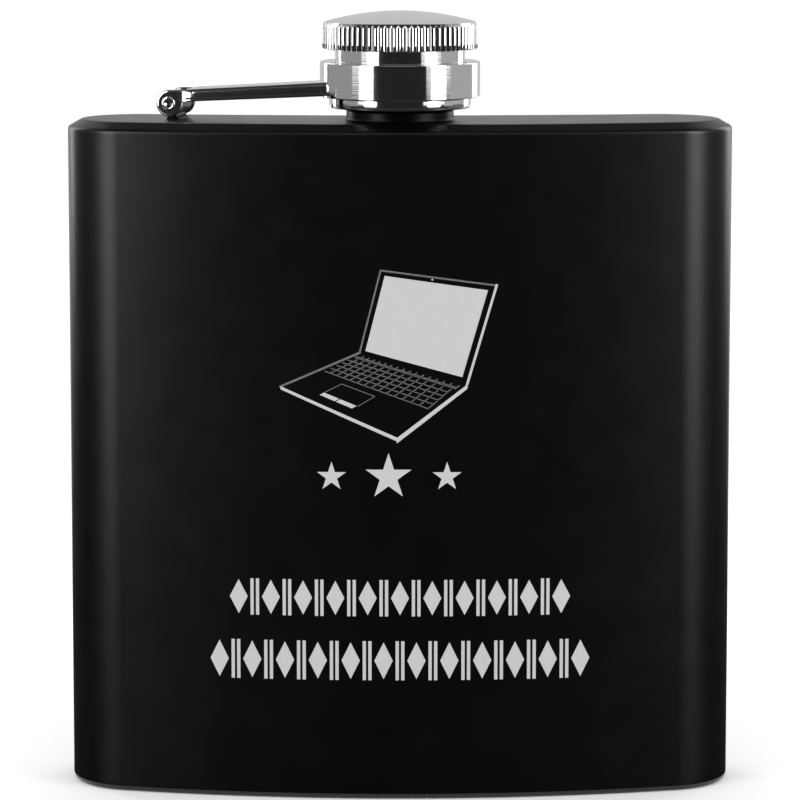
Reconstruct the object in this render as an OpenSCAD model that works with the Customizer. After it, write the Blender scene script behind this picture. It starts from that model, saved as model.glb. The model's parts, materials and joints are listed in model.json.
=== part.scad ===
// Hip flask with a captive screw cap on a hinged arm.
// Millimetres. The origin is on the base plane, under the neck's axis.
// +Z is up, the bowed front faces -Y, and the hinge lies towards -X.

/* [Body] */
// Width of the body over its two rounded ends
body_w = 94.5; // [90:0.5:105]
// Thickness of the body at its middle
body_t = 22; // [20:0.5:23]
// Height of the flat top above the base
body_h = 95.5; // [80:0.5:120]
// Radius of the bowed front face
front_r = 160; // [140:5:170]
// Radius of each rounded end
end_r = 10.2; // [10:0.1:11]
// Thickness of the sheet that the body is made of
wall = 0.6; // [0.5:0.1:0.8]
// Width of the bevel round the top
bevel_w = 2; // [1:0.1:2.5]
// Height of the bevel round the top
bevel_h = 1.1; // [0.8:0.1:1.5]

/* [Neck] */
// Radius of the opening that the drink is poured through
bore_r = 5.6; // [5:0.1:5.7]
// Radius of the plain collar at the foot of the neck
collar_r = 7.6; // [7.4:0.1:7.8]
// Height of the collar above the top
collar_h = 1.5; // [1:0.1:1.6]
// Height of the neck's rim above the top
neck_h = 7.5; // [7.2:0.1:7.6]
// Radius of the neck between its threads
thread_root = 6.3; // [6.2:0.05:6.35]
// Radius over the crests of the neck's thread
thread_crest = 7; // [6.9:0.05:7.05]
// Rise of the thread in one turn
thread_pitch = 1.5; // [1.4:0.1:1.5]

/* [Cap] */
// Radius over the ribs of the cap's grip
grip_r = 11; // [10.8:0.1:11.4]
// Number of ribs round the grip
rib_count = 75; // [60:5:90]
// Depth of the grooves between the ribs
rib_depth = 0.28; // [0.2:0.02:0.34]
// Height of the grip's lower edge above the top
grip_z = 10.1; // [9.7:0.1:10.2]
// Height of the grip's upper edge above the top
grip_top = 13.9; // [13:0.1:14]
// Height of the crown of the dome above the top
crown_z = 15.4; // [15.2:0.1:16.4]
// Radius of the sleeve that runs through the ring
sleeve_r = 9.15; // [9.1:0.05:9.2]
// Radius of the rolled lip that holds the cap in the ring
lip_r = 10; // [9.9:0.05:10]

/* [Arm and hinge] */
// Distance from the neck's axis to the hinge pin's axis
hinge_reach = 31.8; // [31.5:0.1:32.5]
// Turn of the arm from the body's width, towards the back
arm_turn = 13; // [12:0.5:15]
// Distance that the arm's centre line passes in front of the neck's axis
arm_shift = 3.8; // [3.5:0.1:4.2]
// Height of the hinge pin's axis above the top
pin_z = 2.3; // [2.2:0.1:2.4]
// Radius of the hinge pin
pin_r = 0.75; // [0.7:0.05:0.8]
// Radius of the two ears that hold the pin
ear_r = 1.92; // [1.85:0.01:1.95]
// Width over the arm's flanges
arm_w = 7.4; // [7.2:0.1:8]
// Thickness of the arm's sheet
arm_sheet = 0.7; // [0.6:0.05:0.7]
// Outer radius of the ring round the cap
ring_r = 11.3; // [11.2:0.05:11.4]
// Height of the ring
ring_h = 4.95; // [4.9:0.05:5]

/* [Hidden] */
$fn = 96;
eps = 0.01;

// The outline is a bent plate: two long arcs joined by two tangent end arcs.
face_steps = 16;
end_steps = 20;
end_x = body_w / 2 - end_r;
front_y = front_r - body_t / 2;
end_y = front_y - sqrt(pow(front_r - end_r, 2) - pow(end_x, 2));
back_rise = body_t / 2 - end_y;
back_r = (pow(end_r, 2) - pow(end_x, 2) - pow(back_rise, 2)) / (2 * (back_rise - end_r));
back_y = body_t / 2 + back_r;
front_angle = atan2(end_y - front_y, end_x);
back_angle = atan2(back_y - end_y, -end_x);

// Heights, from the top of the body up.
wall_top = body_h - bevel_h;
rim_z = body_h + neck_h;
collar_z = body_h + collar_h;
lip_z = body_h + 1.8;
lip_h = 1.5;
ring_z = lip_z + lip_h + 0.05;
gasket_t = 1.2;

// Welds
bead = 0.5;
neck_bead = 0.35;
neck_gap = 0.02;

// Thread: the ridge's width at its foot and at its crest, and its facets a turn.
ridge_foot = 0.8;
ridge_tip = 0.35;
ridge_steps = 30;
ridge_sink = 0.15;
lead_in = 5;
neck_thread_z = body_h + 2.5;
neck_turns = 2;
insert_play = 0.15;
insert_root = thread_crest + insert_play;
insert_crest = thread_root + insert_play;
insert_thread_z = neck_thread_z + 1.5 * thread_pitch;
insert_turns = 1.3;

// Cap
sleeve_wall = 0.55;
insert_r = sleeve_r - sleeve_wall;
insert_z = lip_z + 0.8;
gasket_r = 7.4;
gasket_play = 0.15;
head_wall = 0.8;
edge = 0.4;

// Ring: its flange is at the top, so the cap's lip can rise into the bore.
ring_flange_r = sleeve_r + 0.35;
ring_flange_h = 0.7;
ring_bore_r = lip_r + 0.3;

// Hinge
pin_height = body_h + pin_z;
pin_play = 0.05;
eye_r = 1.7;
eye_w = 5;
leg_t = 1;
leg_x = -0.3;
head_r = 1.05;
head_h = 0.4;
head_gap = 0.05;

// Arm: a folded channel that rises from the hinge to the ring.
web_start = 2.4;
web_rise = 1.9;
web_slope = 0.0635;
flange_rise = 0.15;
flange_slope = 0.0525;
flange_start = 3.8;
arm_end = ring_r - arm_shift;
braze = 0.3;

function tail(list) = [for (i = [1:len(list) - 1]) list[i]];

function arc(centre, r, start, stop, steps) = [
    for (i = [0:steps])
        let (a = start + (stop - start) * i / steps)
            centre + r * [cos(a), sin(a)]
];

// The rounded end on the right, with a point at its tip.
function end_arc(inset) = concat(
    arc([end_x, end_y], end_r - inset, front_angle, 0, end_steps / 2),
    tail(arc([end_x, end_y], end_r - inset, 0, back_angle, end_steps / 2))
);

// The body's outline, moved inwards by inset.
function outline(inset) =
    let (
        front = arc([0, front_y], front_r - inset, -180 - front_angle, front_angle, face_steps),
        right = end_arc(inset),
        back = arc([0, back_y], back_r + inset, back_angle - 180, -back_angle, face_steps),
        left = [for (i = [len(right) - 2:-1:1]) [-right[i][0], right[i][1]]]
    )
    concat(front, tail(right), tail(back), left);

// A solid between outlines, one for each [inset, height].
module outline_stack(levels) {
    rings = [for (l = levels) [for (p = outline(l[0])) [p[0], p[1], l[1]]]];
    n = len(rings[0]);
    points = [for (r = rings) for (p = r) p];
    sides = [
        for (k = [0:len(levels) - 2], i = [0:n - 1])
            [k * n + i, (k + 1) * n + i, (k + 1) * n + (i + 1) % n, k * n + (i + 1) % n]
    ];
    low = [for (i = [0:n - 1]) i];
    high = [for (i = [0:n - 1]) len(points) - 1 - i];
    polyhedron(points, concat(sides, [low], [high]));
}

// A helical ridge from radius root to radius crest, climbing anticlockwise.
module ridge(root, crest, z, turns) {
    steps = round(turns * ridge_steps);
    sink = root < crest ? -ridge_sink : ridge_sink;
    sections = [
        for (i = [0:steps])
            let (
                a = 360 * i / ridge_steps,
                grow = min(1, (i + 1) / lead_in, (steps - i + 1) / lead_in),
                tip = root + (crest - root) * grow,
                h = z + thread_pitch * i / ridge_steps
            )
                for (p = [
                    [root + sink, -ridge_foot / 2],
                    [tip, -ridge_tip / 2],
                    [tip, ridge_tip / 2],
                    [root + sink, ridge_foot / 2]
                ])
                    [p[0] * cos(a), p[0] * sin(a), h + p[1]]
    ];
    sides = [
        for (i = [0:steps - 1], k = [0:3])
            [4 * i + k, 4 * i + (k + 1) % 4, 4 * i + 4 + (k + 1) % 4, 4 * i + 4 + k]
    ];
    last = 4 * steps;
    faces = concat(sides, [[3, 2, 1, 0], [last, last + 1, last + 2, last + 3]]);
    turned = [for (f = faces) [for (i = [len(f) - 1:-1:0]) f[i]]];
    polyhedron(sections, root < crest ? faces : turned);
}

// The arm lies along -X of this frame.
module arm_frame() {
    rotate([0, 0, -arm_turn])
        translate([0, -arm_shift, 0])
            children();
}

// A solid of a side profile, given in the arm's X and Z, of width w across the arm.
module side_extrude(w) {
    rotate([90, 0, 0])
        linear_extrude(w, center = true)
            children();
}

module body_wall() {
    color([0.03, 0.03, 0.03])
        linear_extrude(wall_top)
            difference() {
                polygon(outline(0));
                polygon(outline(wall));
            }
}

module body_seam_weld() {
    color([0.4, 0.4, 0.4])
        intersection() {
            translate([0, 0, 2 * wall])
                linear_extrude(wall_top - 4 * wall)
                    polygon(outline(wall));
            translate([-body_w / 2, end_y - bead, 0])
                cube([wall + bead / 2, 2 * bead, body_h]);
        }
}

module top_plate() {
    color([0.04, 0.04, 0.04])
        difference() {
            outline_stack([[0, wall_top], [bevel_w, body_h]]);
            outline_stack([
                [wall, wall_top - eps],
                [wall, wall_top],
                [bevel_w + wall / 2, body_h - wall],
                [bevel_w + wall / 2 + eps, body_h - wall]
            ]);
            translate([0, 0, wall_top - 1])
                cylinder(h = bevel_h + 2, r = collar_r + neck_gap);
        }
}

module bottom_plate() {
    color([0.03, 0.03, 0.03])
        linear_extrude(wall)
            polygon(outline(wall));
}

module rim_weld() {
    linear_extrude(bead)
        difference() {
            polygon(outline(wall));
            polygon(outline(wall + bead));
        }
}

module rim_welds() {
    color([0.4, 0.4, 0.4]) {
        translate([0, 0, wall])
            rim_weld();
        translate([0, 0, wall_top - bead])
            rim_weld();
    }
}

module neck() {
    color([0.05, 0.05, 0.05])
        union() {
            rotate_extrude()
                polygon([
                    [bore_r, wall_top],
                    [collar_r, wall_top],
                    [collar_r, collar_z - 0.2],
                    [collar_r - 0.2, collar_z],
                    [thread_root, collar_z],
                    [thread_root, rim_z - 0.2],
                    [thread_root - 0.2, rim_z],
                    [bore_r, rim_z]
                ]);
            ridge(thread_root, thread_crest, neck_thread_z, neck_turns);
        }
}

module neck_weld() {
    color([0.05, 0.05, 0.05])
        translate([0, 0, body_h])
            rotate_extrude()
                polygon([[collar_r, 0], [collar_r + neck_bead, 0], [collar_r, neck_bead]]);
}

module hinge_lug() {
    color([0.05, 0.05, 0.05])
        arm_frame()
            translate([-hinge_reach, 0, pin_height])
                rotate([90, 0, 0])
                    linear_extrude(eye_w, center = true)
                        difference() {
                            union() {
                                circle(r = eye_r);
                                translate([leg_x, -pin_z])
                                    square([leg_t, pin_z]);
                            }
                            circle(r = pin_r + pin_play);
                        }
}

module hinge_lug_welds() {
    color([0.05, 0.05, 0.05])
        arm_frame()
            translate([-hinge_reach, 0, body_h])
                side_extrude(eye_w) {
                    polygon([[leg_x - bead, 0], [leg_x, 0], [leg_x, bead]]);
                    polygon([[leg_x + leg_t, 0], [leg_x + leg_t + bead, 0], [leg_x + leg_t, bead]]);
                }
}

module hinge_pin() {
    half = arm_w / 2 + head_gap;
    color([0.75, 0.75, 0.76])
        arm_frame()
            translate([-hinge_reach, 0, pin_height])
                rotate([90, 0, 0])
                    rotate_extrude()
                        polygon([
                            [0, -half - head_h],
                            [head_r / 2, -half - head_h],
                            [head_r, -half - head_h / 3],
                            [head_r, -half],
                            [pin_r, -half],
                            [pin_r, half],
                            [head_r, half],
                            [head_r, half + head_h / 3],
                            [head_r / 2, half + head_h],
                            [0, half + head_h]
                        ]);
}

// Height of the web's upper face at distance d from the neck's axis.
function web_top(d) = pin_height + web_rise + (hinge_reach - d) * web_slope;

// Height of the flanges' lower edge at distance d from the neck's axis.
function flange_foot(d) = pin_height + flange_rise + (hinge_reach - d) * flange_slope;

// The arm seen from the side.
module arm_side() {
    web_d = hinge_reach - web_start;
    flange_d = hinge_reach - flange_start;
    polygon([
        [-hinge_reach, pin_height + ear_r],
        [-hinge_reach, pin_height],
        [-hinge_reach + ear_r, pin_height],
        [-flange_d, flange_foot(flange_d)],
        [-arm_end, flange_foot(arm_end)],
        [-arm_end, web_top(arm_end)],
        [-web_d, web_top(web_d)]
    ]);
    translate([-hinge_reach, pin_height])
        circle(r = ear_r);
}

// The space between the flanges, seen from the side.
module under_web() {
    near = arm_end - 1;
    far = hinge_reach + 2 * ear_r;
    polygon([
        [-far, body_h],
        [-near, body_h],
        [-near, web_top(near) - arm_sheet],
        [-far, web_top(far) - arm_sheet]
    ]);
}

module lid_arm() {
    inner_w = arm_w - 2 * arm_sheet;
    far = hinge_reach + 2 * ear_r;
    color([0.8, 0.8, 0.82])
        arm_frame()
            difference() {
                side_extrude(arm_w)
                    arm_side();
                side_extrude(inner_w)
                    under_web();
                // Over the eye, so that only the ears reach the pin
                translate([-far, -inner_w / 2, body_h])
                    cube([2 * ear_r + web_start, inner_w, 2 * ear_r + pin_z]);
                translate([0, arm_shift, body_h])
                    cylinder(h = 2 * ring_h, r = ring_r);
                translate([-hinge_reach, 0, pin_height])
                    rotate([90, 0, 0])
                        cylinder(h = 2 * arm_w, r = pin_r + pin_play, center = true);
            }
}

// The bead of braze round the arm's end, on its outer faces.
module ring_braze() {
    far = ring_r + 1;
    color([0.8, 0.8, 0.82])
        difference() {
            intersection() {
                arm_frame()
                    side_extrude(arm_w + 2 * braze)
                        polygon([
                            [-far, flange_foot(far)],
                            [-arm_end, flange_foot(arm_end)],
                            [-arm_end, web_top(arm_end) + braze],
                            [-far, web_top(far) + braze]
                        ]);
                translate([0, 0, body_h])
                    cylinder(h = 2 * ring_h, r = ring_r + braze);
            }
            arm_frame()
                side_extrude(arm_w)
                    polygon([
                        [-far - 1, body_h],
                        [-arm_end + 1, body_h],
                        [-arm_end + 1, web_top(arm_end - 1)],
                        [-far - 1, web_top(far + 1)]
                    ]);
            translate([0, 0, body_h])
                cylinder(h = 3 * ring_h, r = ring_r);
        }
}

module lid_ring() {
    top = ring_z + ring_h;
    color([0.8, 0.8, 0.82])
        rotate_extrude()
            polygon([
                [ring_bore_r, ring_z],
                [ring_r - edge, ring_z],
                [ring_r, ring_z + edge],
                [ring_r, top - edge],
                [ring_r - edge, top],
                [ring_flange_r, top],
                [ring_flange_r, top - ring_flange_h],
                [ring_bore_r, top - ring_flange_h]
            ]);
}

module cap_gasket() {
    color([0.85, 0.85, 0.8])
        translate([0, 0, rim_z])
            cylinder(h = gasket_t, r = gasket_r);
}

// Plan of the ribbed grip.
module grip_plan() {
    polygon([
        for (i = [0:4 * rib_count - 1])
            let (
                a = 90 * i / rib_count,
                r = grip_r - (i % 4 < 2 ? 0 : rib_depth)
            )
                [r * cos(a), r * sin(a)]
    ]);
}

module cap_head() {
    low = body_h + grip_z;
    high = body_h + grip_top;
    crown = body_h + crown_z;
    rise = crown - high;
    shoulder = grip_r - edge;
    dome_r = (pow(shoulder, 2) + pow(rise, 2)) / (2 * rise);
    color([0.8, 0.8, 0.82])
        difference() {
            intersection() {
                translate([0, 0, low])
                    linear_extrude(crown - low + 1)
                        grip_plan();
                rotate_extrude()
                    polygon([
                        [0, low],
                        [shoulder, low],
                        [grip_r + eps, low + edge],
                        [grip_r + eps, high - edge],
                        [shoulder, high],
                        [shoulder, crown + 1],
                        [0, crown + 1]
                    ]);
                translate([0, 0, crown - dome_r])
                    sphere(r = dome_r);
            }
            translate([0, 0, low - 1])
                cylinder(h = 2, r = sleeve_r);
            translate([0, 0, low + head_wall])
                cylinder(h = high - low - head_wall, r = shoulder - head_wall);
        }
}

module cap_sleeve() {
    top = body_h + grip_top;
    round_r = 0.6;
    color([0.8, 0.8, 0.82])
        rotate_extrude()
            polygon(concat(
                [[insert_r, top], [insert_r, lip_z]],
                arc([lip_r - round_r, lip_z + round_r], round_r, -90, 0, 4),
                [[lip_r, lip_z + lip_h], [sleeve_r, lip_z + lip_h], [sleeve_r, top]]
            ));
}

module threaded_insert() {
    ceiling = rim_z + gasket_t;
    color([0.7, 0.7, 0.7])
        union() {
            rotate_extrude()
                polygon([
                    [insert_root, insert_z],
                    [insert_r, insert_z],
                    [insert_r, ceiling + 1],
                    [0, ceiling + 1],
                    [0, ceiling],
                    [gasket_r + gasket_play, ceiling],
                    [gasket_r + gasket_play, rim_z - 0.3],
                    [insert_root, rim_z - 0.3]
                ]);
            ridge(insert_root, insert_crest, insert_thread_z, insert_turns);
        }
}

body_wall();
body_seam_weld();
top_plate();
bottom_plate();
rim_welds();
neck();
neck_weld();
hinge_lug();
hinge_lug_welds();
hinge_pin();
lid_arm();
lid_ring();
ring_braze();
cap_gasket();
cap_head();
cap_sleeve();
threaded_insert();
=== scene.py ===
"""A hip flask with a captive screw cap: the looks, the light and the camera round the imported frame.

Metres, +Z up, the front faces -Y.
"""

import json
import math

import bmesh
import bpy
from mathutils import Matrix, Vector


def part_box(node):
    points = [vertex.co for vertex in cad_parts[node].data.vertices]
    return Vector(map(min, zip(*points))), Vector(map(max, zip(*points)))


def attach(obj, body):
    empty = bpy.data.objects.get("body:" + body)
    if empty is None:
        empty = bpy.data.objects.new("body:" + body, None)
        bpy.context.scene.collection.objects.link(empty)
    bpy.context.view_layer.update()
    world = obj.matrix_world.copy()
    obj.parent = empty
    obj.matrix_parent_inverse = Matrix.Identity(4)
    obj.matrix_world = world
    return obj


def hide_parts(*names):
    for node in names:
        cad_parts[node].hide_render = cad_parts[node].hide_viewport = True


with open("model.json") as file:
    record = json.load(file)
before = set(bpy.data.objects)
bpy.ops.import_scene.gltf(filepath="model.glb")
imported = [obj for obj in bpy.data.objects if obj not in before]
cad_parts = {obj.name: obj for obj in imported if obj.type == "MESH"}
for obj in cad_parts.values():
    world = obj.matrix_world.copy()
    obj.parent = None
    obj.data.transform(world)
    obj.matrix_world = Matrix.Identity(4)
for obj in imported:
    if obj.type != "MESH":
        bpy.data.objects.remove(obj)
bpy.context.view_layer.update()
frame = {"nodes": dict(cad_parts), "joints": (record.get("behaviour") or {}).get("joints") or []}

MM = 0.001
TAU = 2 * math.pi

# ---------------------------------------------------------------- sizes, from the frame

# Names in small letters are the frame's own boxes and joints.

wall_low, wall_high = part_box("body_wall")
plate_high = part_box("top_plate")[1]
base_low, base_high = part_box("bottom_plate")
neck_low, neck_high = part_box("neck")
ring_low, ring_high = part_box("lid_ring")
sleeve_low, sleeve_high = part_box("cap_sleeve")
head_low, head_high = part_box("cap_head")
joints = {j["name"]: j for j in frame["joints"]}
hinge = Vector(joints["arm_swing"]["pos_m"])

HALF_W = wall_high.x
FRONT = wall_low.y
BACK = -FRONT
WALL = base_high.z - base_low.z
WALL_TOP = wall_high.z
TOP = plate_high.z
BEVEL_W = 2.0 * MM
COLLAR_R = neck_high.x
NECK_TOP = neck_high.z
RING_R = ring_high.x
SLEEVE_R = 9.15 * MM
LIP_R = sleeve_high.x
GRIP_R = head_high.x
pin_axis = Vector(joints["arm_swing"]["axis"])
ARM_TURN = math.atan2(-pin_axis.x, -pin_axis.y)
HINGE_REACH = hinge.y * math.sin(ARM_TURN) - hinge.x * math.cos(ARM_TURN)
ARM_SHIFT = -hinge.x * math.sin(ARM_TURN) - hinge.y * math.cos(ARM_TURN)

# The bent plate's outline: a front arc, a back arc and two end arcs that touch both.
FRONT_R = 160 * MM
END_R = 10.2 * MM
END_X = HALF_W - END_R
FRONT_C = FRONT + FRONT_R
END_Y = FRONT_C - math.sqrt((FRONT_R - END_R) ** 2 - END_X**2)
RISE = BACK - END_Y
BACK_R = (END_R**2 - END_X**2 - RISE**2) / (2 * (RISE - END_R))
BACK_C = BACK + BACK_R


# ---------------------------------------------------------------- outlines and profiles


def arc(cx, cy, r, start, stop, steps):
    """Points on an arc, both ends included."""
    angles = [start + (stop - start) / steps * i for i in range(steps + 1)]
    return [(cx + r * math.cos(a), cy + r * math.sin(a)) for a in angles]


def outline(inset, face_steps=72, end_steps=40):
    """The body's outline, anticlockwise from the left of the front, moved inwards by inset."""
    front_a = math.atan2(END_Y - FRONT_C, END_X)
    back_a = math.atan2(BACK_C - END_Y, -END_X)
    front = arc(0, FRONT_C, FRONT_R - inset, -math.pi - front_a, front_a, face_steps)
    low_end = arc(END_X, END_Y, END_R - inset, front_a, 0, end_steps)
    high_end = arc(END_X, END_Y, END_R - inset, 0, back_a, end_steps)
    back = arc(0, BACK_C, BACK_R + inset, back_a - math.pi, -back_a, face_steps)
    right = low_end + high_end[1:]
    left = [(-x, y) for x, y in reversed(right)]
    return front + right[1:] + back[1:] + left[1:-1]


def rounded(corners, steps=6):
    """A closed run of (x, y, radius) corners, with an arc in each corner that has a radius."""
    points = []
    count = len(corners)
    for i, (x, y, r) in enumerate(corners):
        if not r:
            points.append((x, y))
            continue
        here = Vector((x, y))
        before = (Vector(corners[i - 1][:2]) - here).normalized()
        after = (Vector(corners[(i + 1) % count][:2]) - here).normalized()
        half = before.angle(after) / 2
        centre = here + (before + after).normalized() * (r / math.sin(half))
        reach = r / math.tan(half)
        first = here + before * reach - centre
        last = here + after * reach - centre
        for k in range(steps + 1):
            a = first.angle_signed(last) * k / steps
            turned = Matrix.Rotation(-a, 2) @ first
            points.append(tuple(centre + turned))
    return points


# ---------------------------------------------------------------- mesh building

SAME_POINT = 0.0001 * MM


def piece(name, verts, faces, mat, body, slot, nodes, sharp=35):
    """A smooth mesh from points and faces, that rides on a body and stands for CAD nodes."""
    mesh = bpy.data.meshes.new(name)
    mesh.from_pydata([tuple(v) for v in verts], [], faces)
    bm = bmesh.new()
    bm.from_mesh(mesh)
    bmesh.ops.remove_doubles(bm, verts=bm.verts, dist=SAME_POINT)
    bmesh.ops.recalc_face_normals(bm, faces=bm.faces)
    bm.to_mesh(mesh)
    bm.free()
    mesh.shade_smooth()
    mesh.set_sharp_from_angle(angle=math.radians(sharp))
    obj = bpy.data.objects.new(name, mesh)
    bpy.context.scene.collection.objects.link(obj)
    even = obj.modifiers.new("even_normals", "WEIGHTED_NORMAL")
    even.keep_sharp = True
    mesh.materials.append(mat)
    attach(obj, body)
    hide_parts(*nodes)


def rings_mesh(rings, closed=False, caps=False):
    """Quads between rings of equal length. closed joins the last ring to the first; caps fills both ends."""
    n = len(rings[0])
    verts = [p for ring in rings for p in ring]
    count = len(rings)
    faces = []
    for k in range(count if closed else count - 1):
        a, b = k * n, (k + 1) % count * n
        faces += [(a + i, a + (i + 1) % n, b + (i + 1) % n, b + i) for i in range(n)]
    if caps:
        faces.append(tuple(range(n)))
        faces.append(tuple(range((count - 1) * n, count * n)))
    return verts, faces


def lathe(profile, steps=192, radius=None):
    """A closed profile of (r, z) turned about Z. radius(r, angle) may change a point's radius."""
    rings = []
    for i in range(steps):
        a = TAU * i / steps
        ring = []
        for r, z in profile:
            reach = radius(r, a) if radius else r
            ring.append((reach * math.cos(a), reach * math.sin(a), z))
        rings.append(ring)
    return rings_mesh(rings, closed=True)


def joined(*parts):
    """Several (verts, faces) as one."""
    verts, faces = [], []
    for v, f in parts:
        base = len(verts)
        verts += list(v)
        faces += [tuple(base + i for i in face) for face in f]
    return verts, faces


def placed(part, matrix):
    """A (verts, faces) part, moved by a matrix."""
    return [matrix @ Vector(v) for v in part[0]], part[1]


# The arm's own frame has its centre line along -X, and the pin's frame has the rivet's axis along Y.
ARM_FRAME = Matrix.Rotation(-ARM_TURN, 4, "Z") @ Matrix.Translation((0, -ARM_SHIFT, 0))
PIN_FRAME = ARM_FRAME @ Matrix.Translation((-HINGE_REACH, 0, hinge.z))


# ---------------------------------------------------------------- materials


def material(name, base, metallic=0.0, rough=0.5, **inputs):
    """A new principled material, its node tree and its shader."""
    mat = bpy.data.materials.new(name)
    mat.use_nodes = True
    tree = mat.node_tree
    shader = tree.nodes["Principled BSDF"]
    shader.inputs["Base Color"].default_value = (*base, 1)
    shader.inputs["Metallic"].default_value = metallic
    shader.inputs["Roughness"].default_value = rough
    for key, value in inputs.items():
        shader.inputs[key.replace("_", " ")].default_value = value
    return mat, tree, shader


def object_coords(tree, scale=(1, 1, 1)):
    """The object's own coordinates, scaled."""
    coords = tree.nodes.new("ShaderNodeTexCoord")
    mapping = tree.nodes.new("ShaderNodeMapping")
    mapping.inputs["Scale"].default_value = scale
    tree.links.new(coords.outputs["Object"], mapping.inputs["Vector"])
    return mapping.outputs["Vector"]


def noise(tree, vector, scale, detail):
    """Cloudy values from 0 to 1."""
    node = tree.nodes.new("ShaderNodeTexNoise")
    node.inputs["Scale"].default_value = scale
    node.inputs["Detail"].default_value = detail
    tree.links.new(vector, node.inputs["Vector"])
    return node.outputs["Fac"]


def spread(tree, value, low, high):
    """value, from 0 to 1, carried to low to high."""
    node = tree.nodes.new("ShaderNodeMapRange")
    node.inputs["To Min"].default_value = low
    node.inputs["To Max"].default_value = high
    tree.links.new(value, node.inputs["Value"])
    return node.outputs["Result"]


def ramp(tree, value, stops):
    """A colour for value, from stops of (place, grey) or (place, colour)."""
    node = tree.nodes.new("ShaderNodeValToRGB")
    while len(node.color_ramp.elements) < len(stops):
        node.color_ramp.elements.new(0.5)
    for element, (at, grey) in zip(node.color_ramp.elements, stops):
        element.position = at
        element.color = (*grey, 1) if isinstance(grey, tuple) else (grey, grey, grey, 1)
    tree.links.new(value, node.inputs["Fac"])
    return node.outputs["Color"]


def bump(tree, shader, height, distance, strength=1.0, chain=None):
    """Relief from height on the shader, over the relief in chain."""
    node = tree.nodes.new("ShaderNodeBump")
    node.inputs["Distance"].default_value = distance
    node.inputs["Strength"].default_value = strength
    tree.links.new(height, node.inputs["Height"])
    if chain:
        tree.links.new(chain, node.inputs["Normal"])
    tree.links.new(node.outputs["Normal"], shader.inputs["Normal"])
    return node.outputs["Normal"]


def paint(name, dark, light, rough, grain, gloss):
    """Matte black paint: a fine grain, cloudy gloss and faint darker and lighter patches."""
    mat, tree, shader = material(name, dark, rough=rough, IOR=1.5, Specular_IOR_Level=gloss)
    at = object_coords(tree)
    cloud = noise(tree, at, 60, 4)
    tree.links.new(ramp(tree, cloud, [(0.3, dark), (0.7, light)]), shader.inputs["Base Color"])
    gloss_cloud = spread(tree, noise(tree, at, 220, 3), rough - 0.05, rough + 0.05)
    tree.links.new(gloss_cloud, shader.inputs["Roughness"])
    fine = bump(tree, shader, noise(tree, at, 9000, 2), grain)
    bump(tree, shader, noise(tree, at, 160, 2), 0.02 * MM, 0.5, fine)
    return mat


def radial_distance(tree, vector):
    """The distance from the object's upright axis, and the height."""
    split = tree.nodes.new("ShaderNodeSeparateXYZ")
    tree.links.new(vector, split.inputs["Vector"])
    flat = tree.nodes.new("ShaderNodeCombineXYZ")
    tree.links.new(split.outputs["X"], flat.inputs["X"])
    tree.links.new(split.outputs["Y"], flat.inputs["Y"])
    length = tree.nodes.new("ShaderNodeVectorMath")
    length.operation = "LENGTH"
    tree.links.new(flat.outputs["Vector"], length.inputs[0])
    return length.outputs["Value"], split.outputs["Z"]


def chrome(name, turned=0.0):
    """Polished plating: a faint waviness, hairline scratches and, where turned, fine rings about Z."""
    mat, tree, shader = material(name, (0.88, 0.88, 0.885), metallic=1.0, rough=0.06)
    at = object_coords(tree)
    tree.links.new(spread(tree, noise(tree, at, 700, 4), 0.04, 0.12), shader.inputs["Roughness"])
    tint = ramp(tree, noise(tree, at, 90, 3), [(0.3, (0.84, 0.84, 0.85)), (0.7, (0.91, 0.91, 0.915))])
    tree.links.new(tint, shader.inputs["Base Color"])
    wave = bump(tree, shader, noise(tree, at, 260, 1), 0.006 * MM, 0.6)
    scratches = noise(tree, object_coords(tree, (300, 300, 9000)), 1, 2)
    streak = bump(tree, shader, scratches, 0.0015 * MM, 0.5, wave)
    if turned:
        distance, height = radial_distance(tree, at)
        pack = tree.nodes.new("ShaderNodeCombineXYZ")
        tree.links.new(distance, pack.inputs["X"])
        tree.links.new(height, pack.inputs["Z"])
        bump(tree, shader, noise(tree, pack.outputs["Vector"], 4200, 2), turned, 0.8, streak)
    return mat


def bare_steel(name, rough):
    """Unpolished stainless steel with a brushed grain."""
    mat, tree, shader = material(name, (0.52, 0.52, 0.53), metallic=1.0, rough=rough)
    at = object_coords(tree, (200, 200, 6000))
    brushed = spread(tree, noise(tree, at, 1, 4), rough - 0.1, rough + 0.12)
    tree.links.new(brushed, shader.inputs["Roughness"])
    tone = ramp(tree, noise(tree, object_coords(tree), 400, 4), [(0.3, 0.42), (0.7, 0.56)])
    tree.links.new(tone, shader.inputs["Base Color"])
    bump(tree, shader, noise(tree, at, 1, 3), 0.01 * MM, 0.6)
    return mat


def silicone(name):
    """Translucent white rubber with a dusty surface."""
    mat, tree, shader = material(name, (0.74, 0.73, 0.7), rough=0.55, IOR=1.41)
    at = object_coords(tree)
    tone = ramp(tree, noise(tree, at, 500, 4), [(0.3, (0.66, 0.65, 0.62)), (0.7, (0.78, 0.77, 0.74))])
    tree.links.new(tone, shader.inputs["Base Color"])
    tree.links.new(spread(tree, noise(tree, at, 1500, 3), 0.45, 0.65), shader.inputs["Roughness"])
    bump(tree, shader, noise(tree, at, 3000, 2), 0.01 * MM, 0.5)
    return mat


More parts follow.
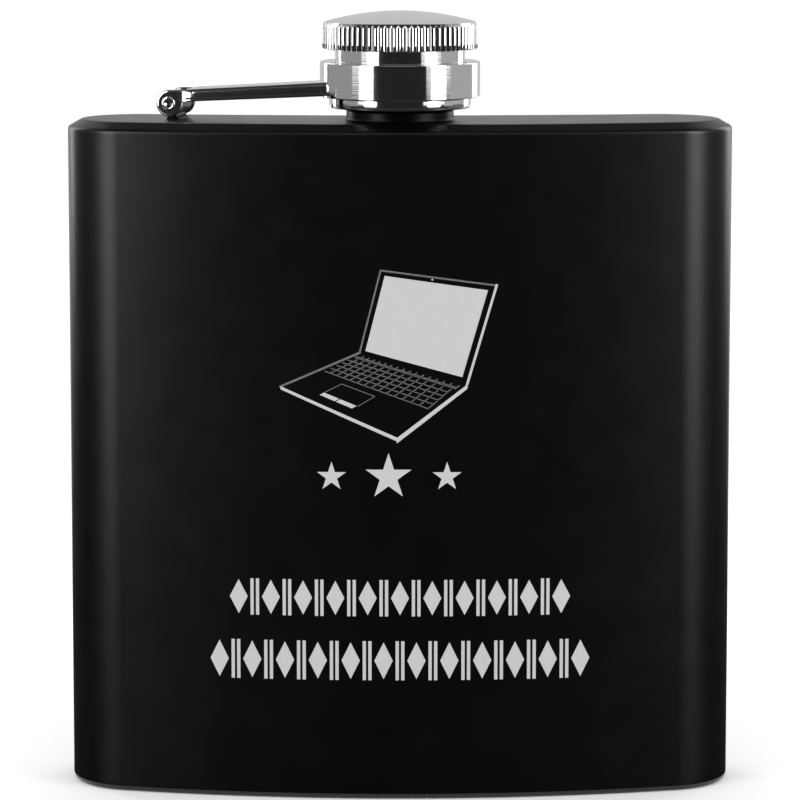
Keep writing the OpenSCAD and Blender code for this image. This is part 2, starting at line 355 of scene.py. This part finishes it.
def engraved(name, deep, tone):
    """Steel laid bare by engraving: a frosted face with fine parallel passes."""
    mat, tree, shader = material(name, (tone, tone, tone), metallic=0.15, rough=0.6)
    at = object_coords(tree, (1, 1, 9000))
    passes = noise(tree, at, 1, 2)
    cloud = noise(tree, object_coords(tree), 900, 3)
    product = tree.nodes.new("ShaderNodeMath")
    product.operation = "MULTIPLY"
    tree.links.new(passes, product.inputs[0])
    tree.links.new(cloud, product.inputs[1])
    colour = ramp(tree, product.outputs["Value"], [(0.1, deep), (0.45, tone)])
    tree.links.new(colour, shader.inputs["Base Color"])
    bump(tree, shader, passes, 0.008 * MM, 0.5)
    return mat


BODY_PAINT = paint("body_paint", (0.0007, 0.0007, 0.0008), (0.0012, 0.0012, 0.0013), 0.3, 0.012 * MM, 0.5)
NECK_PAINT = paint("neck_paint", (0.0008, 0.0008, 0.0009), (0.0015, 0.0015, 0.0016), 0.3, 0.008 * MM, 0.15)
CHROME = chrome("chrome")
TURNED_CHROME = chrome("turned_chrome", turned=0.0035 * MM)
STEEL = bare_steel("bare_steel", 0.32)
INSERT_STEEL = bare_steel("insert_steel", 0.25)
SEAL = silicone("seal_rubber")
BRIGHT = engraved("engraved_bright", 0.43, 0.46)
FAINT = engraved("engraved_faint", 0.085, 0.15)


# ---------------------------------------------------------------- the body


def inset_ring(inset, z):
    """The body's outline, moved inwards and set at a height."""
    return [(x, y, z) for x, y in outline(inset)]


SKIRT = 0.5 * MM
FOOT_R = 1.0 * MM
FOOT_W = 1.3 * MM


def make_wall():
    """The wrapped sheet, with its rolled foot."""
    top = WALL_TOP - SKIRT
    section = rounded(
        [
            (0, top, 0),
            (0, 0, FOOT_R),
            (FOOT_W, 0, 0),
            (FOOT_W, 0.3 * MM, 0),
            (WALL, FOOT_R, 0.3 * MM),
            (WALL, top, 0),
        ],
        8,
    )
    wall = rings_mesh([inset_ring(inset, z) for inset, z in section], closed=True)
    piece("wrapped_wall", *wall, BODY_PAINT, "flask", "body_paint", ["body_wall"])


def make_top():
    """The top pressing: a short skirt, a rounded bevel, the flat and the hole for the neck."""
    outer = rounded(
        [
            (0, WALL_TOP - SKIRT, 0),
            (0, WALL_TOP, 0.7 * MM),
            (BEVEL_W, TOP, 0.9 * MM),
            (BEVEL_W + 1.2 * MM, TOP, 0),
        ]
    )
    under = [(BEVEL_W + 0.5 * MM, TOP - WALL), (WALL, WALL_TOP - 0.2 * MM), (WALL, WALL_TOP - SKIRT)]
    rings = [inset_ring(inset, z) for inset, z in outer]
    angles = [math.atan2(y, x) for x, y in outline(outer[-1][0])]
    for z in (TOP, TOP - WALL):
        rings.append([(COLLAR_R * math.cos(a), COLLAR_R * math.sin(a), z) for a in angles])
    rings += [inset_ring(inset, z) for inset, z in under]
    top = rings_mesh(rings, closed=True)
    piece("top_pressing", *top, BODY_PAINT, "flask", "body_paint", ["top_plate"])


def make_base():
    """The base pressing, set inside the rolled foot with a hairline joint and a shallow step."""
    edge = FOOT_W + 0.06 * MM
    step = 3.2 * MM
    step_h = 0.3 * MM
    floor = step + 1.5 * MM
    section = rounded(
        [
            (edge, WALL, 0),
            (edge, 0, 0.2 * MM),
            (step, 0, 0.25 * MM),
            (step + 0.35 * MM, step_h, 0.25 * MM),
            (floor, step_h, 0),
        ],
        5,
    )
    rings = [inset_ring(inset, z) for inset, z in section]
    rings.append(inset_ring(floor, WALL))
    verts, faces = rings_mesh(rings, closed=True)
    # The last two rings bound the plate's underside and its inside, so a flat face fills each of them.
    n = len(rings[0])
    under, inside = len(verts) - 2 * n, len(verts) - n
    faces = [face for face in faces if min(face) < under]
    faces += [tuple(range(under, inside)), tuple(range(inside, len(verts)))]
    piece("base_pressing", verts, faces, BODY_PAINT, "flask", "body_paint", ["bottom_plate"])


# ---------------------------------------------------------------- the neck


def helix(root, crest, z, turns, pitch, foot, tip, sink, steps=72, lead=14):
    """A thread's ridge, sunk a little into its root, with tapered ends."""
    total = round(turns * steps)
    rings = []
    for i in range(total + 1):
        a = TAU * i / steps
        grow = min(1, (i + 0.3) / lead, (total - i + 0.3) / lead)
        top = root + (crest - root) * grow
        h = z + pitch * i / steps
        section = [(root - sink, -foot / 2), (top, -tip / 2), (top, tip / 2), (root - sink, foot / 2)]
        rings.append([(r * math.cos(a), r * math.sin(a), h + dz) for r, dz in section])
    return rings_mesh(rings, caps=True)


BORE_R = 5.6 * MM
THREAD_ROOT = 6.3 * MM
THREAD_CREST = 7.0 * MM
PITCH = 1.5 * MM
COLLAR_TOP = TOP + 1.5 * MM
THREAD_Z = COLLAR_TOP + 1.0 * MM


def make_neck():
    """The neck: a plain collar, a thread and a bore."""
    profile = rounded(
        [
            (BORE_R, neck_low.z, 0),
            (COLLAR_R, neck_low.z, 0),
            (COLLAR_R, COLLAR_TOP, 0.25 * MM),
            (THREAD_ROOT, COLLAR_TOP, 0.2 * MM),
            (THREAD_ROOT, NECK_TOP, 0.25 * MM),
            (BORE_R, NECK_TOP, 0.25 * MM),
        ],
        5,
    )
    thread = helix(THREAD_ROOT, THREAD_CREST, THREAD_Z, 2, PITCH, 0.8 * MM, 0.35 * MM, 0.1 * MM)
    piece("threaded_neck", *joined(lathe(profile), thread), NECK_PAINT, "flask", "neck_paint", ["neck"])


def make_neck_bead():
    """The weld round the foot of the neck: a hollow fillet with the ripple of a weld run."""
    size, sunk = 0.4 * MM, 0.1 * MM
    ripple_h, ripples = 0.02 * MM, 90
    hollow = arc(COLLAR_R + size, TOP + size, size, -math.pi / 2, -math.pi, 6)
    buried = [(COLLAR_R - sunk, TOP + size), (COLLAR_R - sunk, TOP - sunk), (COLLAR_R + size, TOP - sunk)]

    def ripple(r, a):
        return r + ripple_h * math.sin(ripples * a) if r > COLLAR_R else r

    bead = lathe(hollow + buried, 8 * ripples, ripple)
    piece("neck_bead", *bead, NECK_PAINT, "flask", "neck_paint", ["neck_weld"])


# ---------------------------------------------------------------- the hinge and the arm

# Distances along the arm run from the neck's axis, and heights on it rise from the rivet's axis.
EYE_R = 1.7 * MM
EYE_W = 5 * MM
EAR_R = 1.92 * MM
SHEET = 0.7 * MM
ARM_W = 7.4 * MM
EAR_Y = 3.56 * MM
EAR_T = SHEET - 0.06 * MM
RIVET_HOLE = 0.8 * MM
WEB_START = 2.4 * MM
WEB_RISE = 1.9 * MM
WEB_SLOPE = 0.0635
FLANGE_RISE = 0.15 * MM
FLANGE_SLOPE = 0.0525
OVERLAP = 0.02 * MM
QUARTER = [math.pi / 2 * k / 4 for k in range(5)]


def hole_ring(shape, cx, cz):
    """The rivet's hole, with one point for each point of the outline round it."""
    angles = [math.atan2(z - cz, x - cx) for x, z in shape]
    return [(cx + RIVET_HOLE * math.cos(a), cz + RIVET_HOLE * math.sin(a)) for a in angles]


def make_lug():
    """The lug: an eye for the rivet on a short leg, with a flared foot."""
    leg, shift, flare = 1.0 * MM, 0.2 * MM, 0.5 * MM
    soft, half = 0.2 * MM, EYE_W / 2
    foot = TOP - hinge.z
    left, right = shift - leg / 2, shift + leg / 2
    start, stop = math.acos(right / EYE_R), math.acos(left / EYE_R)
    eye = arc(0, 0, EYE_R, -start, TAU - stop, 48)
    sweep = [math.pi / 2 * k / 5 for k in range(6)]
    left_foot = [(left - flare * (1 - math.cos(a)), foot + flare * (1 - math.sin(a))) for a in sweep]
    right_foot = [(right + (left - x), z) for x, z in reversed(left_foot)]
    shape = eye + left_foot + right_foot
    hole = hole_ring(shape, 0, 0)
    rings = [[(x, -half, z) for x, z in hole]]
    for side in (-1, 1):
        for a in QUARTER if side < 0 else reversed(QUARTER):
            inset, y = soft * (1 - math.sin(a)), half - soft * (1 - math.cos(a))
            rings.append([(x, side * y, z) for x, z in offset_outline(shape, -inset)])
    rings.append([(x, half, z) for x, z in hole])
    eye_part = rings_mesh(rings, closed=True)
    piece("hinge_eye", *placed(eye_part, PIN_FRAME), NECK_PAINT, "flask", "neck_paint", ["hinge_lug"])


def make_pin():
    """The rivet: a shaft with two shallow heads, each with a rolled rim round a dimple."""
    half = EAR_Y + OVERLAP
    head_r, head_h, shaft, dimple = 1.0 * MM, 0.42 * MM, 0.75 * MM, 0.5 * MM
    roll = (head_r - dimple) / 2
    rim = arc(head_r - roll, half + head_h - roll * 0.8, roll, 0, math.radians(150), 10)
    hollow = [(dimple * 0.6, half + 0.12 * MM), (0, half + 0.1 * MM)]
    top = [(shaft, half), (head_r, half)] + rim + hollow
    profile = top + [(r, -z) for r, z in reversed(top)]
    turned = Matrix.Rotation(math.pi / 2, 4, "X")
    piece("rivet", *placed(lathe(profile, 64), PIN_FRAME @ turned), CHROME, "arm", "chrome", ["hinge_pin"])


def ease(t):
    """A smooth step from 0 to 1."""
    t = max(0.0, min(1.0, t))
    return t * t * (3 - 2 * t)


def flange_y(d):
    """Half the arm's width: the flanges stand wider than the ears, with a joggle between them."""
    joggle, run = HINGE_REACH - 1.6 * MM, 2.0 * MM
    return EAR_Y + (ARM_W / 2 - EAR_Y) * ease((joggle - d) / run)


def web_top(d):
    """The height of the arm's upper face."""
    return hinge.z + WEB_RISE + (HINGE_REACH - d) * WEB_SLOPE


def flange_foot(d):
    """The height of the flanges' lower edge."""
    return hinge.z + FLANGE_RISE + (HINGE_REACH - d) * FLANGE_SLOPE


def braze(gap, size):
    """How far a hollow fillet stands out at a distance from its corner."""
    if gap >= size:
        return 0.0
    return size * (1 - math.sqrt(max(0.0, 1 - (1 - gap / size) ** 2)))


def channel():
    """The arm's folded sheet, from the web's edge to a hollow fillet of braze on the ring."""
    start = HINGE_REACH - WEB_START
    face = RING_R - 2 * OVERLAP
    length = start - face
    fillet, flare_run, flare = 0.35 * MM, 0.32 * MM, 0.17 * MM
    bend, inner_bend, soft, outer_soft = 0.75 * MM, 0.3 * MM, 0.2 * MM, 0.36 * MM
    strips, left_out, fillet_steps = 60, 2, 12
    runs = [length * k / strips for k in range(strips - left_out)]
    runs += [length - fillet * math.cos(math.pi / 2 * k / fillet_steps) for k in range(fillet_steps + 1)]
    rings = []
    for run in sorted(runs):
        d = start - run
        grow = braze(length - run, fillet)
        swell = flare * max(0.0, 1 - (length - run) / flare_run) ** 2
        half = flange_y(d) + swell
        top, foot = web_top(d), flange_foot(d)
        low = top - SHEET
        inner = half - swell - SHEET
        section = rounded(
            [
                (-half, foot, outer_soft),
                (-half, top + grow, bend),
                (half, top + grow, bend),
                (half, foot, outer_soft),
                (inner, foot, soft),
                (inner, low, inner_bend),
                (-inner, low, inner_bend),
                (-inner, foot, soft),
            ],
            5,
        )
        ring = []
        for y, z in section:
            end = math.sqrt(face**2 - (y - ARM_SHIFT) ** 2)
            along = start + (end - start) * run / length
            share = (z - foot) / (top - foot)
            low_z, high_z = flange_foot(along), web_top(along)
            ring.append((-along, y, low_z + (high_z - low_z) * share))
        rings.append(ring)
    return rings_mesh(rings, caps=True)


def offset_outline(points, by):
    """A closed outline moved outwards by a small distance."""
    moved = []
    for i, p in enumerate(points):
        here = Vector(p)
        before = (here - Vector(points[i - 1])).normalized()
        after = (Vector(points[(i + 1) % len(points)]) - here).normalized()
        normal = Vector((before.y + after.y, -before.x - after.x)).normalized()
        stretch = 1 / max(0.5, normal.dot(Vector((before.y, -before.x))))
        moved.append(tuple(here + normal * by * stretch))
    return moved


def curve(a, b, c, steps):
    """Points on a quadratic curve from a to c that leans to b, without its two ends."""
    a, b, c = Vector(a), Vector(b), Vector(c)
    shares = [k / steps for k in range(1, steps)]
    return [tuple(a * (1 - t) ** 2 + b * 2 * t * (1 - t) + c * t * t) for t in shares]


def ear_outline():
    """The ear's round plate, with a lower and an upper curve that lead into the flange."""
    hub = -HINGE_REACH
    tail_x = hub + 4.2 * MM
    low = (tail_x, flange_foot(-tail_x) + 0.03 * MM)
    high = (tail_x, web_top(-tail_x) - 0.45 * MM)
    low_corner = (hub + EAR_R * 1.06, hinge.z + 0.36 * MM)
    high_corner = (hub + 1.7 * MM, hinge.z + EAR_R * 1.03)
    rim = arc(hub, hinge.z, EAR_R, math.radians(86), math.radians(364), 60)
    return rim + curve(rim[-1], low_corner, low, 12) + [low, high] + curve(high, high_corner, rim[0], 12)


def ear(side):
    """One ear: a plate on the end of the flange, with a hole for the rivet and softened edges."""
    soft, web = 0.3 * MM, 8
    shape = ear_outline()
    flat = offset_outline(shape, -soft)
    hole = hole_ring(shape, -HINGE_REACH, hinge.z)
    layers = [(hole, 0.0)]
    for k in range(1, web):
        t = k / web
        between = [(hx + (x - hx) * t, hz + (z - hz) * t) for (hx, hz), (x, z) in zip(hole, flat)]
        layers.append((between, 0.0))
    for a in QUARTER:
        layers.append((offset_outline(shape, -soft * (1 - math.sin(a))), soft * (1 - math.cos(a))))
    rings = []
    for layer, sunk in layers:
        rings.append([(x, side * (flange_y(-x) - OVERLAP - sunk), z) for x, z in layer])
    for layer, sunk in reversed(layers):
        rings.append([(x, side * (flange_y(-x) - OVERLAP - EAR_T + sunk), z) for x, z in layer])
    return rings_mesh(rings, closed=True)


def make_arm():
    """The arm: the folded channel, its two ears and the braze at its end."""
    part = joined(channel(), ear(1), ear(-1))
    piece("channel_arm", *placed(part, ARM_FRAME), CHROME, "arm", "chrome", ["lid_arm", "ring_braze"])


def make_ring():
    """The ring that holds the cap, with a flange inside its upper edge."""
    bore, flange_bore, flange_h = 10.3 * MM, 9.5 * MM, 0.7 * MM
    low, high = ring_low.z, ring_high.z
    profile = rounded(
        [
            (bore, low, 0.2 * MM),
            (RING_R, low, 0.14 * MM),
            (RING_R, high, 0.16 * MM),
            (flange_bore, high, 0.2 * MM),
            (flange_bore, high - flange_h, 0.12 * MM),
            (bore, high - flange_h, 0.12 * MM),
        ],
        8,
    )
    piece("collar_ring", *lathe(profile, 256), TURNED_CHROME, "arm", "chrome", ["lid_ring"])


# ---------------------------------------------------------------- the cap

RIBS = 75
RIB_DEPTH = 0.3 * MM
RIB_SAMPLES = 12
DOME_STEPS = 24
GRIP_TOP = TOP + 13.9 * MM
SHOULDER_R = GRIP_R - 0.42 * MM


def slope(start, stop, steps):
    """Points on a straight run from start, without its end."""
    return [tuple(Vector(start).lerp(Vector(stop), k / steps)) for k in range(steps)]


def dome_points(crown):
    """The head's dome, from its shoulder to its crown."""
    rise = crown - GRIP_TOP
    radius = (SHOULDER_R**2 + rise**2) / (2 * rise)
    half = math.asin(SHOULDER_R / radius)
    angles = [half * (1 - k / DOME_STEPS) for k in range(DOME_STEPS)]
    return [(radius * math.sin(a), crown - radius + radius * math.cos(a)) for a in angles] + [(0, crown)]


def make_head():
    """The domed head, with rounded ribs that run out on the two chamfers."""
    low, crown = head_low.z, head_high.z
    low_run, high_run, roof = 0.16 * MM, 0.55 * MM, 0.8 * MM
    bore = 9.8 * MM
    grip = slope((GRIP_R - 0.2 * MM, low), (GRIP_R, low + low_run), 4)
    grip += slope((GRIP_R, low + low_run), (GRIP_R, GRIP_TOP - high_run), 4)
    grip += slope((GRIP_R, GRIP_TOP - high_run), (SHOULDER_R + 0.02 * MM, GRIP_TOP), 10)
    inside = [(0, crown - roof), (6 * MM, crown - 1.4 * MM), (bore, GRIP_TOP - 0.6 * MM), (bore, low + roof)]
    seat = [(SLEEVE_R, low + roof), (SLEEVE_R, low)]
    profile = grip + dome_points(crown) + inside + seat

    def ribbed(r, a):
        wave = abs(math.sin(a * RIBS / 2))
        groove = GRIP_R - RIB_DEPTH * (1 - wave**0.8)
        return min(r, groove) if r > GRIP_R - RIB_DEPTH else r

    head = lathe(profile, RIBS * RIB_SAMPLES, ribbed)
    piece("ribbed_head", *head, TURNED_CHROME, "cap", "chrome", ["cap_head"], sharp=50)


def make_sleeve():
    """The plain sleeve, with a rolled lip round its foot."""
    low, high = sleeve_low.z, sleeve_high.z
    bore = 8.6 * MM
    shelf = low + 1.5 * MM
    profile = rounded(
        [
            (bore, high, 0),
            (bore, low, 0.2 * MM),
            (LIP_R, low, 0.32 * MM),
            (LIP_R, shelf, 0.15 * MM),
            (SLEEVE_R, shelf, 0.15 * MM),
            (SLEEVE_R, high, 0),
        ]
    )
    piece("lipped_sleeve", *lathe(profile, 256), TURNED_CHROME, "cap", "chrome", ["cap_sleeve"])


# ---------------------------------------------------------------- the engraving

PROUD = 0.03 * MM
SUNK = 0.05 * MM
SLICE = 1.0 * MM


def inlay(name, shapes, mat, proud):
    """Flat shapes, given in X and Z, as one thin skin that hugs the bowed front."""
    bm = bmesh.new()
    for shape in shapes:
        bm.faces.new([bm.verts.new((x, 0, z)) for x, z in shape])
    bmesh.ops.recalc_face_normals(bm, faces=bm.faces)
    xs = [v.co.x for v in bm.verts]
    across, touch = (1, 0, 0), SAME_POINT / 10
    for k in range(math.ceil(min(xs) / SLICE), math.floor(max(xs) / SLICE) + 1):
        geometry = bm.verts[:] + bm.edges[:] + bm.faces[:]
        bmesh.ops.bisect_plane(bm, geom=geometry, plane_co=(k * SLICE, 0, 0), plane_no=across, dist=touch)
    for v in bm.verts:
        v.co.y = FRONT_C - math.sqrt((FRONT_R + proud) ** 2 - v.co.x**2)
    made = bmesh.ops.extrude_face_region(bm, geom=bm.faces[:], use_keep_orig=True)
    for v in made["geom"]:
        if isinstance(v, bmesh.types.BMVert):
            v.co.y += proud + SUNK
    bmesh.ops.recalc_face_normals(bm, faces=bm.faces)
    mesh = bpy.data.meshes.new(name)
    bm.to_mesh(mesh)
    bm.free()
    mesh.materials.append(mat)
    obj = bpy.data.objects.new(name, mesh)
    bpy.context.scene.collection.objects.link(obj)
    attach(obj, "flask")


def star(cx, cz, r):
    """A five-pointed star."""
    reach = [r, r * 0.382] * 5
    return [(cx + q * math.sin(TAU * k / 10), cz + q * math.cos(TAU * k / 10)) for k, q in enumerate(reach)]


def stroke(a, b, width):
    """A straight line as a thin four-sided shape."""
    a, b = Vector(a), Vector(b)
    along = (b - a).normalized()
    side = Vector((-along.y, along.x)) * width / 2
    end = along * width / 2
    return [tuple(a - end + side), tuple(a - end - side), tuple(b + end - side), tuple(b + end + side)]


def strokes(points, width):
    """Lines from point to point, with the width in millimetres."""
    return [stroke(a, b, width * MM) for a, b in zip(points, points[1:])]


class Pictogram:
    """A plain open laptop, drawn in perspective on the front. Its own sizes are in millimetres."""

    WIDTH, DEPTH, HEIGHT, THICK = 19.9, 16.9, 14.1, 0.75
    YAW, PITCH, LEAN = math.radians(38.7), math.radians(26.5), math.radians(23.7)
    EYE = 52.6
    CENTRE = (-3.6, 59.05)

    def raw(self, p):
        """A point of the laptop, seen in perspective."""
        x, y, z = p[0] - self.WIDTH / 2, p[1] + self.DEPTH / 2, p[2]
        side = x * math.cos(self.YAW) + y * math.sin(self.YAW)
        away = -x * math.sin(self.YAW) + y * math.cos(self.YAW)
        up = z * math.cos(self.PITCH) + away * math.sin(self.PITCH)
        depth = away * math.cos(self.PITCH) - z * math.sin(self.PITCH)
        k = self.EYE / (self.EYE + depth)
        return side * k, up * k

    def lid(self, u, v):
        """A point on the lid, across and up, each from 0 to 1."""
        rise = self.HEIGHT * v
        return (self.WIDTH * u, rise * math.sin(self.LEAN), rise * math.cos(self.LEAN))

    def at(self, p):
        """A point of the laptop, placed on the flask's front."""
        x, z = self.raw(p)
        return (x + self.CENTRE[0]) * MM, (z + self.CENTRE[1]) * MM

    def deck(self, u, v):
        """A point on the keyboard's deck, across from the left and out from the hinge."""
        return self.at((self.WIDTH * u, -self.DEPTH * v, 0))

    def bright(self):
        """The screen, the lit edges of the base and the lid, the pad's buttons and the lens."""
        corners = ((0.055, 0.04), (0.95, 0.06), (0.95, 0.945), (0.055, 0.945))
        screen = [self.at(self.lid(u, v)) for u, v in corners]
        low = -self.THICK
        w, d = self.WIDTH, self.DEPTH
        side = [self.at(p) for p in ((w, 0.3, 0), (w, -d, 0), (w, -d, low), (w, 0.3, low))]
        front = [self.at(p) for p in ((0, -d, 0.05), (w, -d, 0.05), (w, -d, -0.45), (0, -d, -0.45))]
        lid = strokes([self.at(self.lid(1, 0)), self.at(self.lid(1, 1))], 0.34)
        lens = [star(*self.at(self.lid(0.5, 0.975)), 0.2 * MM)]
        buttons = [self.button(left) for left in (0.3, 0.45)]
        return [screen, side, front] + lid + lens + buttons

    def button(self, left):
        """One of the pad's two buttons."""
        right, near, far = left + 0.14, 0.895, 0.845
        return [self.deck(left, far), self.deck(right, far), self.deck(right, near), self.deck(left, near)]

    def faint(self):
        """Thin outlines: the lid, the deck's left side, the pad, the hinge's line and the keys."""
        lid = [self.at(self.lid(u, v)) for u, v in ((0, 0), (0, 1), (1, 1))]
        deck = [self.deck(0, 0), self.deck(0, 1)]
        pad = [self.deck(u, v) for u, v in ((0.3, 0.84), (0.3, 0.64), (0.6, 0.64), (0.6, 0.84))]
        shapes = strokes(lid, 0.24) + strokes(deck, 0.3) + strokes(pad, 0.1)
        shapes += strokes([self.deck(0.04, 0.125), self.deck(0.97, 0.125)], 0.1)
        for column in range(16):
            shapes += self.key(0.04 + column * 0.0585, 0.055, 0.045, 0.045)
        for row in range(5):
            for column in range(14):
                shapes += self.key(0.035 + row * 0.004 + column * 0.066, 0.155 + row * 0.082, 0.053, 0.062)
        return shapes

    def key(self, u, v, w, d):
        """The two lit edges of one key."""
        corners = [self.deck(u, v + d), self.deck(u + w, v + d), self.deck(u + w, v)]
        return strokes(corners, 0.12)


def lozenge(cx, cz, w, h):
    """A diamond."""
    return [(cx - w / 2, cz), (cx, cz - h / 2), (cx + w / 2, cz), (cx, cz + h / 2)]


def bar(cx, cz, w, h):
    """An upright bar."""
    left, right, low, high = cx - w / 2, cx + w / 2, cz - h / 2, cz + h / 2
    return [(left, low), (right, low), (right, high), (left, high)]


def border(cz, half, height, count):
    """A plain ornament: a row of lozenges, with a pair of upright bars between each two."""
    shapes = []
    step = 2 * half / count
    for k in range(count):
        cx = -half + step * (k + 0.5)
        shapes.append(lozenge(cx, cz, step * 0.56, height * 0.94))
        if k:
            edge = -half + step * k
            shapes += [bar(edge + side * step * 0.085, cz, step * 0.1, height) for side in (-1, 1)]
    return shapes


STAR_Z = 46.2 * MM
STARS = ((-9.6 * MM, 2.15 * MM), (-1.6 * MM, 3.4 * MM), (6.6 * MM, 2.15 * MM))


def make_engraving():
    """The laptop, the three stars and two plain borders."""
    laptop = Pictogram()
    inlay("laptop_panels", laptop.bright(), BRIGHT, PROUD)
    inlay("laptop_lines", laptop.faint(), FAINT, PROUD * 0.7)
    inlay("three_stars", [star(x, STAR_Z, r) for x, r in STARS], BRIGHT, PROUD)
    inlay("upper_border", border(28.95 * MM, 25.0 * MM, 5.2 * MM, 11), BRIGHT, PROUD)
    inlay("lower_border", border(20.0 * MM, 27.8 * MM, 5.6 * MM, 12), BRIGHT, PROUD)


# ---------------------------------------------------------------- CAD nodes that stay


def dress(node, mat):
    """A CAD node's new material."""
    slots = frame["nodes"][node].data.materials
    slots.clear()
    slots.append(mat)


def dress_kept_nodes():
    """The nodes that no mesh here replaces."""
    dress("body_seam_weld", STEEL)
    dress("rim_welds", STEEL)
    dress("hinge_lug_welds", NECK_PAINT)
    dress("cap_gasket", SEAL)
    dress("threaded_insert", INSERT_STEEL)


# ---------------------------------------------------------------- studio

# Azimuths are in degrees from the camera's side of the flask, positive to the right.
FLOOR_SIZE = 16
LEFT_GREY = 0.22
RIGHT_GREY = 0.3
BACK_GREY = 0.46
DARK_GREY = 0.02
CEILING_GREY = 0.03
CEILING_Z = 1.5
CARD_DISTANCE = 0.95
CARD_LOW = -0.2
CARD_HIGH = 1.2
BOX_DISTANCE = 0.9
BOX_Z = 0.36
BOX_TALL = 0.72
SOFT_GLOW = 4.2
RIM_GLOW = 7.0
EDGE_GLOW = 2.2


def make_floor():
    """A plain pale sheet of paper."""
    bpy.ops.mesh.primitive_plane_add(size=FLOOR_SIZE)
    floor = bpy.context.object
    floor.name = "floor"
    mat, tree, shader = material("floor_paper", (0.92, 0.92, 0.92), rough=0.8)
    tone = ramp(tree, noise(tree, object_coords(tree), 3, 2), [(0.3, 0.91), (0.7, 0.94)])
    tree.links.new(tone, shader.inputs["Base Color"])
    floor.data.materials.append(mat)


def make_world():
    """An even white room."""
    world = bpy.data.worlds.new("studio")
    world.use_nodes = True
    background = world.node_tree.nodes["Background"]
    background.inputs["Color"].default_value = (1, 1, 1, 1)
    background.inputs["Strength"].default_value = 1.1
    bpy.context.scene.world = world


def around(azimuth, distance, height):
    """A place at an azimuth and a distance from the flask."""
    a = math.radians(azimuth)
    return Vector((distance * math.sin(a), -distance * math.cos(a), height))


def softbox(name, azimuth, width, glow):
    """A rectangular light of an even brightness, that faces the flask."""
    light = bpy.data.lights.new(name, "AREA")
    light.shape = "RECTANGLE"
    light.size, light.size_y = width, BOX_TALL
    light.energy = glow * math.pi * width * BOX_TALL
    obj = bpy.data.objects.new(name, light)
    obj.location = around(azimuth, BOX_DISTANCE, BOX_Z)
    aim = Vector((0, 0, BOX_Z)) - obj.location
    obj.rotation_euler = aim.to_track_quat("-Z", "Y").to_euler()
    obj.visible_camera = False
    bpy.context.scene.collection.objects.link(obj)


def reflector(name, verts, faces, grey):
    """A card that only shiny surfaces mirror: the camera and soft light don't see it."""
    mesh = bpy.data.meshes.new(name)
    mesh.from_pydata([tuple(v) for v in verts], [], faces)
    mat = material(name + "_cloth", (grey, grey, grey), rough=0.9, Specular_IOR_Level=0.0)[0]
    mesh.materials.append(mat)
    obj = bpy.data.objects.new(name, mesh)
    obj.visible_camera = False
    obj.visible_diffuse = False
    obj.visible_shadow = False
    bpy.context.scene.collection.objects.link(obj)


def screen(name, start, stop, distance, low, high, grey, steps=16):
    """An upright card bent round the flask between two azimuths."""
    edge = [around(start + (stop - start) * k / steps, distance, 0) for k in range(steps + 1)]
    verts = [p + Vector((0, 0, low)) for p in edge] + [p + Vector((0, 0, high)) for p in edge]
    faces = [(k, k + 1, k + steps + 2, k + steps + 1) for k in range(steps)]
    reflector(name, verts, faces, grey)


def lying(name, start, stop, near, far, height, grey, steps=32):
    """A flat card that lies between two distances and two azimuths."""
    angles = [start + (stop - start) * k / steps for k in range(steps + 1)]
    verts = [around(a, near, height) for a in angles] + [around(a, far, height) for a in angles]
    faces = [(k, k + 1, k + steps + 2, k + steps + 1) for k in range(steps)]
    reflector(name, verts, faces, grey)


def make_studio():
    """The floor, the room, the cards that the chrome mirrors and the lights."""
    make_floor()
    make_world()
    screen("flag_front", -39, 38, 0.7, CARD_LOW, 0.8, 0.012)
    screen("flag_high", -82, -38, 0.92, 0.75, CEILING_Z, 0.06)
    screen("screen_left", -130, -72, CARD_DISTANCE, CARD_LOW, CARD_HIGH, LEFT_GREY)
    screen("flag_left", -131, -126, CARD_DISTANCE - 0.01, CARD_LOW, CARD_HIGH, DARK_GREY, 4)
    screen("screen_right", 77, 128, CARD_DISTANCE, CARD_LOW, CARD_HIGH, RIGHT_GREY)
    screen("paper_behind", 146, 223, 1.2, -0.05, CEILING_Z, BACK_GREY)
    lying("table_cloth", -150, 150, 0.005, 1.6, 0.0008, DARK_GREY)
    ceiling = [(-1.6, -0.85), (1.6, -0.85), (1.6, 1.25), (-1.6, 1.25)]
    reflector("ceiling", [(x, y, CEILING_Z) for x, y in ceiling], [(0, 1, 2, 3)], CEILING_GREY)
    softbox("soft_left", -49, 0.34, SOFT_GLOW)
    softbox("soft_right", 57, 0.36, SOFT_GLOW)
    softbox("rim_left", -134, 0.1, RIM_GLOW)
    softbox("rim_right", 137, 0.28, EDGE_GLOW)


CAMERA_DISTANCE = 0.5472
CAMERA_HEIGHT = 0.135
CAMERA_LENS = 174.5
CAMERA_SHIFT = -0.12
CAMERA_AIM = 0.0555


def make_camera():
    """The camera. It points above its aim by what the shift brings back, so uprights lean little."""
    data = bpy.data.cameras.new("camera")
    data.lens = CAMERA_LENS
    data.sensor_width = 36
    data.shift_y = CAMERA_SHIFT
    data.clip_start = 0.01
    down = math.atan2(CAMERA_HEIGHT - CAMERA_AIM, CAMERA_DISTANCE)
    lifted = down - math.atan(-CAMERA_SHIFT * data.sensor_width / data.lens)
    camera = bpy.data.objects.new("camera", data)
    camera.location = (0, -CAMERA_DISTANCE, CAMERA_HEIGHT)
    camera.rotation_euler = (math.pi / 2 - lifted, 0, 0)
    bpy.context.scene.collection.objects.link(camera)
    bpy.context.scene.camera = camera


make_camera()
make_wall()
make_top()
make_base()
make_neck()
make_neck_bead()
make_lug()
make_pin()
make_arm()
make_ring()
make_head()
make_sleeve()
make_engraving()
dress_kept_nodes()
make_studio()
bpy.context.scene.view_settings.view_transform = "Standard"
